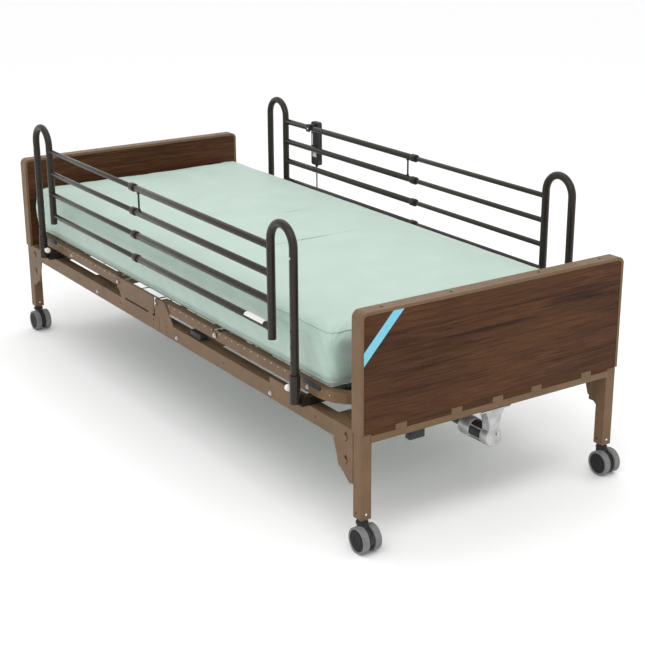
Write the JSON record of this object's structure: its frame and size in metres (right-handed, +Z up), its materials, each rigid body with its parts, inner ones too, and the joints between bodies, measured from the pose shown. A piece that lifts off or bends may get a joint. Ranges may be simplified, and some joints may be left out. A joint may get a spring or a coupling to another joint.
{
  "type": "adjustable hospital bed",
  "caption": "Full-electric homecare bed with hinged back, thigh and calf sections, telescoping legs on casters, drop-down side rails and hand control.",
  "frame": {"origin": "on the floor under the middle of the whole object's bounding box, casters trailing towards the foot", "axes": "+Z up, +Y to the head of the bed, +X to the far side"},
  "size_m": [1.0364, 2.2682, 0.8536],
  "materials": {
    "frame_enamel": "semi-gloss brown powder coat",
    "walnut_laminate": "satin walnut-grain laminate",
    "rail_enamel": "gloss dark bronze powder coat",
    "zinc_plate": "zinc-plated steel",
    "die_cast": "as-cast",
    "green_enamel": "dark green enamel",
    "black_plastic": "textured",
    "white_plastic": "moulded",
    "grey_tyre": "matt grey",
    "button_grey": "matt keypad",
    "mattress_cover": "pale green nylon cover",
    "cord_rubber": "matt"
  },
  "bodies": {
    "frame": {"headboard_frame": "frame_enamel", "headboard_panel": "walnut_laminate", "footboard_frame": "frame_enamel", "footboard_panel": "walnut_laminate", "frame_head_half": "frame_enamel", "frame_foot_half": "frame_enamel", "seat_springs": "zinc_plate", "mattress_seat": "mattress_cover", "mattress_back_fold": "mattress_cover", "mattress_thigh_fold": "mattress_cover", "hi_lo_motor": "die_cast", "head_gearbox": "die_cast", "control_box": "black_plastic", "rail_mount_head": "rail_enamel", "pendant_cord": "cord_rubber"},
    "head_legs": {"head_leg_carriage": "zinc_plate"},
    "head_screw": {"head_lift_screw": "zinc_plate"},
    "caster_head_near_swivel": {"caster_head_near_fork": "black_plastic"},
    "caster_head_near_roll": {"caster_head_near_wheels": "grey_tyre"},
    "caster_head_far_swivel": {"caster_head_far_fork": "black_plastic"},
    "caster_head_far_roll": {"caster_head_far_wheels": "grey_tyre"},
    "caster_head_far_pedal": {"caster_head_far_brake": "black_plastic"},
    "foot_legs": {"foot_leg_carriage": "zinc_plate"},
    "foot_screw": {"foot_lift_screw": "zinc_plate"},
    "caster_foot_near_swivel": {"caster_foot_near_fork": "black_plastic"},
    "caster_foot_near_roll": {"caster_foot_near_wheels": "grey_tyre"},
    "caster_foot_near_pedal": {"caster_foot_near_brake": "black_plastic"},
    "caster_foot_far_swivel": {"caster_foot_far_fork": "black_plastic"},
    "caster_foot_far_roll": {"caster_foot_far_wheels": "grey_tyre"},
    "drive_shaft": {"drive_shaft": "green_enamel"},
    "back_section": {"back_frame": "frame_enamel", "back_springs": "zinc_plate", "mattress_back": "mattress_cover"},
    "thigh_section": {"thigh_frame": "frame_enamel", "thigh_springs": "zinc_plate", "mattress_thigh": "mattress_cover"},
    "calf_section": {"calf_frame": "frame_enamel", "calf_springs": "zinc_plate", "mattress_calf": "mattress_cover"},
    "back_actuator": {"back_actuator": "black_plastic"},
    "back_push_rod": {"back_push_rod": "zinc_plate"},
    "thigh_actuator": {"thigh_actuator": "black_plastic"},
    "thigh_push_rod": {"thigh_push_rod": "zinc_plate"},
    "rail_mount_foot": {"rail_mount_foot": "rail_enamel"},
    "near_rail_thick": {"near_rail_thick": "rail_enamel"},
    "near_rail_thin": {"near_rail_thin": "rail_enamel"},
    "far_rail_thick": {"far_rail_thick": "rail_enamel", "pendant_housing": "black_plastic"},
    "far_rail_thin": {"far_rail_thin": "rail_enamel"},
    "release_knob_head_near": {"release_knob_head_near": "white_plastic"},
    "release_knob_head_far": {"release_knob_head_far": "white_plastic"},
    "release_knob_foot_near": {"release_knob_foot_near": "white_plastic"},
    "release_knob_foot_far": {"release_knob_foot_far": "white_plastic"},
    "button_back_up": {"button_back_up": "button_grey"},
    "button_back_down": {"button_back_down": "button_grey"},
    "button_knee_up": {"button_knee_up": "button_grey"},
    "button_knee_down": {"button_knee_down": "button_grey"},
    "button_bed_up": {"button_bed_up": "button_grey"},
    "button_bed_down": {"button_bed_down": "button_grey"}
  },
  "joints": [
    {"name": "head_height", "type": "slide", "parent": "frame", "child": "head_legs", "axis": [0, 0, -1], "range_m": [0, 0.2286]},
    {"name": "head_screw_turn", "type": "hinge", "parent": "frame", "child": "head_screw", "pos_m": [-0.01144, 1.1116, 0.311], "axis": [0, 0, 1], "range_deg": [0, 10292]},
    {"name": "caster_head_near_swivel_turn", "type": "hinge", "parent": "head_legs", "child": "caster_head_near_swivel", "pos_m": [-0.44824, 1.1116, 0.09], "axis": [0, 0, 1], "continuous": true},
    {"name": "caster_head_near_roll_turn", "type": "hinge", "parent": "caster_head_near_swivel", "child": "caster_head_near_roll", "pos_m": [-0.44824, 1.0966, 0.0375], "axis": [1, 0, 0], "continuous": true},
    {"name": "caster_head_far_swivel_turn", "type": "hinge", "parent": "head_legs", "child": "caster_head_far_swivel", "pos_m": [0.42536, 1.1116, 0.09], "axis": [0, 0, 1], "continuous": true},
    {"name": "caster_head_far_roll_turn", "type": "hinge", "parent": "caster_head_far_swivel", "child": "caster_head_far_roll", "pos_m": [0.42536, 1.0966, 0.0375], "axis": [1, 0, 0], "continuous": true},
    {"name": "caster_head_far_brake_press", "type": "hinge", "parent": "caster_head_far_swivel", "child": "caster_head_far_pedal", "pos_m": [0.42536, 1.0721, 0.0565], "axis": [1, 0, 0], "range_deg": [0, 15]},
    {"name": "foot_height", "type": "slide", "parent": "frame", "child": "foot_legs", "axis": [0, 0, -1], "range_m": [0, 0.2286]},
    {"name": "foot_screw_turn", "type": "hinge", "parent": "frame", "child": "foot_screw", "pos_m": [-0.01144, -1.0816, 0.311], "axis": [0, 0, 1], "range_deg": [0, 10292]},
    {"name": "caster_foot_near_swivel_turn", "type": "hinge", "parent": "foot_legs", "child": "caster_foot_near_swivel", "pos_m": [-0.44824, -1.0816, 0.09], "axis": [0, 0, 1], "continuous": true},
    {"name": "caster_foot_near_roll_turn", "type": "hinge", "parent": "caster_foot_near_swivel", "child": "caster_foot_near_roll", "pos_m": [-0.44824, -1.0966, 0.0375], "axis": [1, 0, 0], "continuous": true},
    {"name": "caster_foot_near_brake_press", "type": "hinge", "parent": "caster_foot_near_swivel", "child": "caster_foot_near_pedal", "pos_m": [-0.44824, -1.1211, 0.0565], "axis": [1, 0, 0], "range_deg": [0, 15]},
    {"name": "caster_foot_far_swivel_turn", "type": "hinge", "parent": "foot_legs", "child": "caster_foot_far_swivel", "pos_m": [0.42536, -1.0816, 0.09], "axis": [0, 0, 1], "continuous": true},
    {"name": "caster_foot_far_roll_turn", "type": "hinge", "parent": "caster_foot_far_swivel", "child": "caster_foot_far_roll", "pos_m": [0.42536, -1.0966, 0.0375], "axis": [1, 0, 0], "continuous": true},
    {"name": "drive_shaft_turn", "type": "hinge", "parent": "frame", "child": "drive_shaft", "pos_m": [-0.01144, 0.015, 0.222], "axis": [0, 1, 0], "range_deg": [0, 10292]},
    {"name": "back_hinge", "type": "hinge", "parent": "frame", "child": "back_section", "pos_m": [-0.01144, 0.327, 0.391], "axis": [1, 0, 0], "range_deg": [0, 60], "deforming": ["mattress_back_fold"]},
    {"name": "thigh_hinge", "type": "hinge", "parent": "frame", "child": "thigh_section", "pos_m": [-0.01144, 0.047, 0.391], "axis": [-1, 0, 0], "range_deg": [0, 30], "deforming": ["mattress_thigh_fold"]},
    {"name": "knee_hinge", "type": "hinge", "parent": "thigh_section", "child": "calf_section", "pos_m": [-0.01144, -0.335, 0.391], "axis": [1, 0, 0], "range_deg": [0, 47]},
    {"name": "back_actuator_swing", "type": "hinge", "parent": "frame", "child": "back_actuator", "pos_m": [-0.14144, -0.185, 0.262], "axis": [1, 0, 0], "range_deg": [0, 5.05]},
    {"name": "back_rod_extend", "type": "slide", "parent": "back_actuator", "child": "back_push_rod", "axis": [0, 0.9973, 0.0731], "range_m": [0, 0.0805]},
    {"name": "thigh_actuator_swing", "type": "hinge", "parent": "frame", "child": "thigh_actuator", "pos_m": [0.11856, 0.575, 0.262], "axis": [-1, 0, 0], "range_deg": [0, 2.01]},
    {"name": "thigh_rod_extend", "type": "slide", "parent": "thigh_actuator", "child": "thigh_push_rod", "axis": [0, -0.9986, 0.0528], "range_m": [0, 0.0507]},
    {"name": "rail_mount_foot_slide", "type": "slide", "parent": "frame", "child": "rail_mount_foot", "axis": [0, 1, 0], "range_m": [-0.05, 0.05]},
    {"name": "near_rail_drop", "type": "slide", "parent": "rail_mount_foot", "child": "near_rail_thick", "axis": [0, 0, -1], "range_m": [0, 0.25]},
    {"name": "near_rail_thin_drop", "type": "slide", "parent": "frame", "child": "near_rail_thin", "axis": [0, 0, -1], "range_m": [0, 0.25]},
    {"name": "far_rail_drop", "type": "slide", "parent": "frame", "child": "far_rail_thick", "axis": [0, 0, -1], "range_m": [0, 0.25], "deforming": ["pendant_cord"]},
    {"name": "far_rail_thin_drop", "type": "slide", "parent": "rail_mount_foot", "child": "far_rail_thin", "axis": [0, 0, -1], "range_m": [0, 0.25]},
    {"name": "release_knob_head_near_pull", "type": "slide", "parent": "frame", "child": "release_knob_head_near", "axis": [0, -1, 0], "range_m": [0, 0.008], "stiffness_N_per_m": 400, "springref_m": -0.003},
    {"name": "release_knob_head_far_pull", "type": "slide", "parent": "frame", "child": "release_knob_head_far", "axis": [0, -1, 0], "range_m": [0, 0.008], "stiffness_N_per_m": 400, "springref_m": -0.003},
    {"name": "release_knob_foot_near_pull", "type": "slide", "parent": "rail_mount_foot", "child": "release_knob_foot_near", "axis": [0, 1, 0], "range_m": [0, 0.008], "stiffness_N_per_m": 400, "springref_m": -0.003},
    {"name": "release_knob_foot_far_pull", "type": "slide", "parent": "rail_mount_foot", "child": "release_knob_foot_far", "axis": [0, 1, 0], "range_m": [0, 0.008], "stiffness_N_per_m": 400, "springref_m": -0.003},
    {"name": "press_back_up", "type": "slide", "parent": "far_rail_thick", "child": "button_back_up", "axis": [-1, 0, 0], "range_m": [0, 0.0015], "stiffness_N_per_m": 300, "springref_m": -0.002},
    {"name": "press_back_down", "type": "slide", "parent": "far_rail_thick", "child": "button_back_down", "axis": [-1, 0, 0], "range_m": [0, 0.0015], "stiffness_N_per_m": 300, "springref_m": -0.002},
    {"name": "press_knee_up", "type": "slide", "parent": "far_rail_thick", "child": "button_knee_up", "axis": [-1, 0, 0], "range_m": [0, 0.0015], "stiffness_N_per_m": 300, "springref_m": -0.002},
    {"name": "press_knee_down", "type": "slide", "parent": "far_rail_thick", "child": "button_knee_down", "axis": [-1, 0, 0], "range_m": [0, 0.0015], "stiffness_N_per_m": 300, "springref_m": -0.002},
    {"name": "press_bed_up", "type": "slide", "parent": "far_rail_thick", "child": "button_bed_up", "axis": [-1, 0, 0], "range_m": [0, 0.0015], "stiffness_N_per_m": 300, "springref_m": -0.002},
    {"name": "press_bed_down", "type": "slide", "parent": "far_rail_thick", "child": "button_bed_down", "axis": [-1, 0, 0], "range_m": [0, 0.0015], "stiffness_N_per_m": 300, "springref_m": -0.002}
  ],
  "couplings": [
    {"joint": "foot_height", "follows": "head_height", "ratio": 1},
    {"joint": "head_screw_turn", "follows": "head_height", "rad_per_m": 785.4},
    {"joint": "foot_screw_turn", "follows": "head_height", "rad_per_m": 785.4},
    {"joint": "drive_shaft_turn", "follows": "head_height", "rad_per_m": 785.4},
    {"joint": "knee_hinge", "follows": "thigh_hinge", "ratio": 1.549},
    {"joint": "back_actuator_swing", "follows": "back_hinge", "ratio": 0.08083},
    {"joint": "back_rod_extend", "follows": "back_hinge", "m_per_rad": 0.07593},
    {"joint": "thigh_actuator_swing", "follows": "thigh_hinge", "ratio": 0.06049},
    {"joint": "thigh_rod_extend", "follows": "thigh_hinge", "m_per_rad": 0.09492},
    {"joint": "near_rail_thin_drop", "follows": "near_rail_drop", "ratio": 1},
    {"joint": "far_rail_thin_drop", "follows": "far_rail_drop", "ratio": 1}
  ]
}
